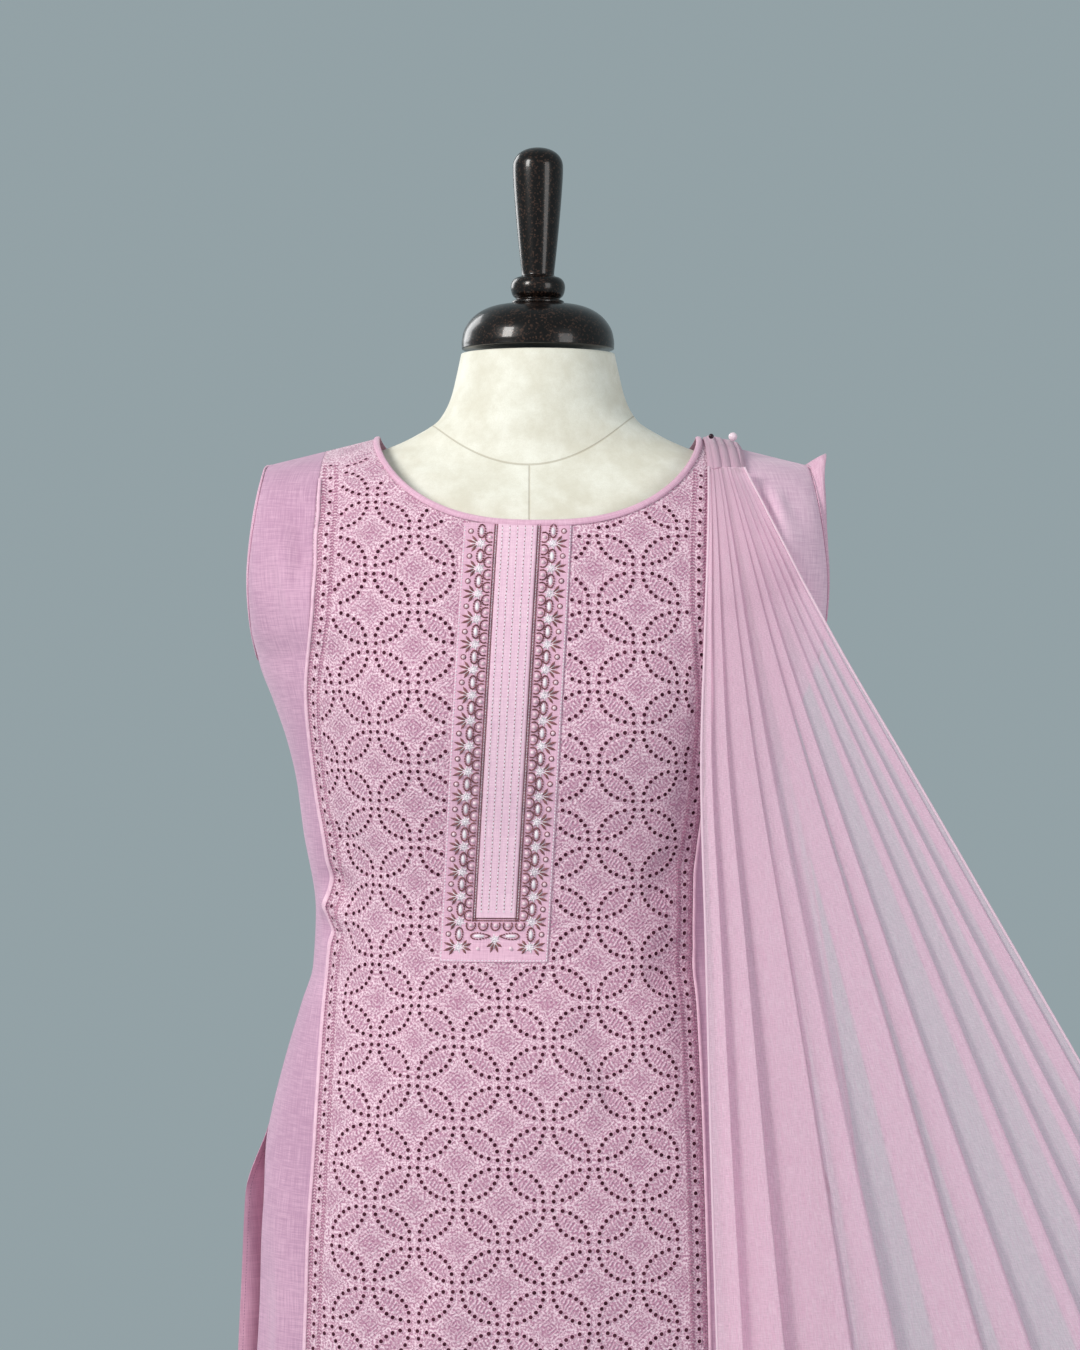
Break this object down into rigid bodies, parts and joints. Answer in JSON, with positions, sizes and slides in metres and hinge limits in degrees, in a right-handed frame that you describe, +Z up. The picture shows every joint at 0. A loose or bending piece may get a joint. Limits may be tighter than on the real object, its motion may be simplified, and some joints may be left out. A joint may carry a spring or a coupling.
{
  "type": "salwar kameez suit on dress form",
  "caption": "Sleeveless kameez with eyelet front panel and placket, pleated dupatta pinned at one shoulder, and salwar, on a dress form with a stand.",
  "frame": {"origin": "middle of the underside of the stand's round base, on the floor", "axes": "+Z up, -Y out of the garment's front, +X towards the wearer's left, where the dupatta falls"},
  "size_m": [1.157, 0.3817, 1.631],
  "materials": {
    "eyelet_lawn": "matt cotton lawn with eyelet embroidery",
    "lawn": "matt woven cotton lawn",
    "piping": "matt",
    "placket_embroidery": "brown cord and scallop embroidery with pearls",
    "placket_strip": "matt with dotted silver stitching",
    "lawn_trim": "matt woven cotton lawn",
    "chiffon": "sheer crinkled chiffon",
    "pearl": "pearl",
    "dark_pin": "gloss",
    "salwar_lawn": "matt woven cotton lawn",
    "form_cloth": "matt cotton jersey",
    "flaked_lacquer": "gloss lacquer with fine metallic flake",
    "iron": "satin black"
  },
  "bodies": {
    "root": {"front_centre_panel": "eyelet_lawn", "front_side_right": "lawn", "front_side_left": "lawn", "kameez_back": "lawn", "seam_piping_right": "piping", "seam_piping_left": "piping", "placket_border": "placket_embroidery", "placket_strip": "placket_strip", "neck_binding": "lawn_trim", "armhole_band_right": "lawn_trim", "armhole_band_left": "lawn_trim", "dupatta_front": "chiffon", "dupatta_shoulder": "chiffon", "dupatta_back": "chiffon", "pin_pearl": "pearl", "pin_dark": "dark_pin", "salwar_leg_right": "salwar_lawn", "salwar_leg_left": "salwar_lawn", "salwar_waistband": "salwar_lawn", "form_body": "form_cloth", "neck_cap": "flaked_lacquer", "finial": "flaked_lacquer", "stand_pole": "iron", "stand_hub": "iron", "stand_base": "iron"}
  },
  "joints": []
}
